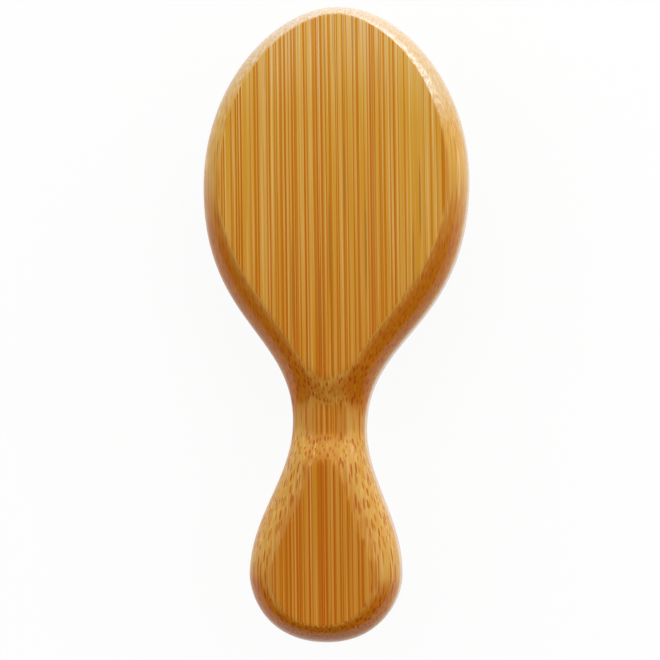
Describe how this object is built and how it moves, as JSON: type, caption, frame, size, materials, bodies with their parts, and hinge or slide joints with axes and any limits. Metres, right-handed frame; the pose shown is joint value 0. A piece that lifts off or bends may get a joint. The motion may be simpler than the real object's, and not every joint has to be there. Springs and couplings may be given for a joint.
{
  "type": "paddle brush",
  "caption": "Small bamboo paddle hairbrush with an egg-shaped head, scooped neck and rounded handle; ball-tipped pins stand in a domed rubber air cushion.",
  "frame": {"origin": "on the surface that the brush lies on, under the middle of its length and width", "axes": "+Y towards the tip of the head, +X across the head, +Z from the pin tips towards the flat back"},
  "size_m": [0.0544, 0.13, 0.0307],
  "materials": {
    "bamboo": "satin clear lacquer over laminated bamboo with long dark fibre lines",
    "rubber": "matt moulded rubber",
    "pin_bamboo": "turned and polished bamboo"
  },
  "bodies": {
    "brush_body": {"bamboo_body": "bamboo"},
    "cushion": {"cushion_pad": "rubber"},
    "pin_column_1": {"pin_c1_r1": "pin_bamboo", "pin_c1_r2": "pin_bamboo", "pin_c1_r3": "pin_bamboo", "pin_c1_r4": "pin_bamboo"},
    "pin_column_2": {"pin_c2_r1": "pin_bamboo", "pin_c2_r2": "pin_bamboo", "pin_c2_r3": "pin_bamboo", "pin_c2_r4": "pin_bamboo", "pin_c2_r5": "pin_bamboo", "pin_c2_r6": "pin_bamboo", "pin_c2_r7": "pin_bamboo"},
    "pin_column_3": {"pin_c3_r1": "pin_bamboo", "pin_c3_r2": "pin_bamboo", "pin_c3_r3": "pin_bamboo", "pin_c3_r4": "pin_bamboo", "pin_c3_r5": "pin_bamboo", "pin_c3_r6": "pin_bamboo", "pin_c3_r7": "pin_bamboo", "pin_c3_r8": "pin_bamboo"},
    "pin_column_4": {"pin_c4_r1": "pin_bamboo", "pin_c4_r2": "pin_bamboo", "pin_c4_r3": "pin_bamboo", "pin_c4_r4": "pin_bamboo", "pin_c4_r5": "pin_bamboo", "pin_c4_r6": "pin_bamboo", "pin_c4_r7": "pin_bamboo", "pin_c4_r8": "pin_bamboo", "pin_c4_r9": "pin_bamboo"},
    "pin_column_5": {"pin_c5_r1": "pin_bamboo", "pin_c5_r2": "pin_bamboo", "pin_c5_r3": "pin_bamboo", "pin_c5_r4": "pin_bamboo", "pin_c5_r5": "pin_bamboo", "pin_c5_r6": "pin_bamboo", "pin_c5_r7": "pin_bamboo", "pin_c5_r8": "pin_bamboo"},
    "pin_column_6": {"pin_c6_r1": "pin_bamboo", "pin_c6_r2": "pin_bamboo", "pin_c6_r3": "pin_bamboo", "pin_c6_r4": "pin_bamboo", "pin_c6_r5": "pin_bamboo", "pin_c6_r6": "pin_bamboo", "pin_c6_r7": "pin_bamboo"},
    "pin_column_7": {"pin_c7_r1": "pin_bamboo", "pin_c7_r2": "pin_bamboo", "pin_c7_r3": "pin_bamboo", "pin_c7_r4": "pin_bamboo"}
  },
  "joints": [
    {"name": "cushion_press", "type": "slide", "parent": "brush_body", "child": "cushion", "axis": [0, 0, 1], "range_m": [0, 0.0025], "stiffness_N_per_m": 2000, "deforming": ["cushion_pad"]},
    {"name": "pin_column_1_lean", "type": "hinge", "parent": "cushion", "child": "pin_column_1", "pos_m": [-0.01625, 0.0278, 0.0162], "axis": [0, 1, 0], "range_deg": [-10, 10], "stiffness_Nm_per_rad": 0.04, "deforming": ["cushion_pad"]},
    {"name": "pin_column_2_lean", "type": "hinge", "parent": "cushion", "child": "pin_column_2", "pos_m": [-0.01083, 0.0278, 0.0154], "axis": [0, 1, 0], "range_deg": [-10, 10], "stiffness_Nm_per_rad": 0.07, "deforming": ["cushion_pad"]},
    {"name": "pin_column_3_lean", "type": "hinge", "parent": "cushion", "child": "pin_column_3", "pos_m": [-0.00542, 0.0278, 0.0149], "axis": [0, 1, 0], "range_deg": [-10, 10], "stiffness_Nm_per_rad": 0.08, "deforming": ["cushion_pad"]},
    {"name": "pin_column_4_lean", "type": "hinge", "parent": "cushion", "child": "pin_column_4", "pos_m": [0, 0.0278, 0.0149], "axis": [0, 1, 0], "range_deg": [-10, 10], "stiffness_Nm_per_rad": 0.09, "deforming": ["cushion_pad"]},
    {"name": "pin_column_5_lean", "type": "hinge", "parent": "cushion", "child": "pin_column_5", "pos_m": [0.00542, 0.0278, 0.0149], "axis": [0, 1, 0], "range_deg": [-10, 10], "stiffness_Nm_per_rad": 0.08, "deforming": ["cushion_pad"]},
    {"name": "pin_column_6_lean", "type": "hinge", "parent": "cushion", "child": "pin_column_6", "pos_m": [0.01083, 0.0278, 0.0154], "axis": [0, 1, 0], "range_deg": [-10, 10], "stiffness_Nm_per_rad": 0.07, "deforming": ["cushion_pad"]},
    {"name": "pin_column_7_lean", "type": "hinge", "parent": "cushion", "child": "pin_column_7", "pos_m": [0.01625, 0.0278, 0.0162], "axis": [0, 1, 0], "range_deg": [-10, 10], "stiffness_Nm_per_rad": 0.04, "deforming": ["cushion_pad"]}
  ]
}
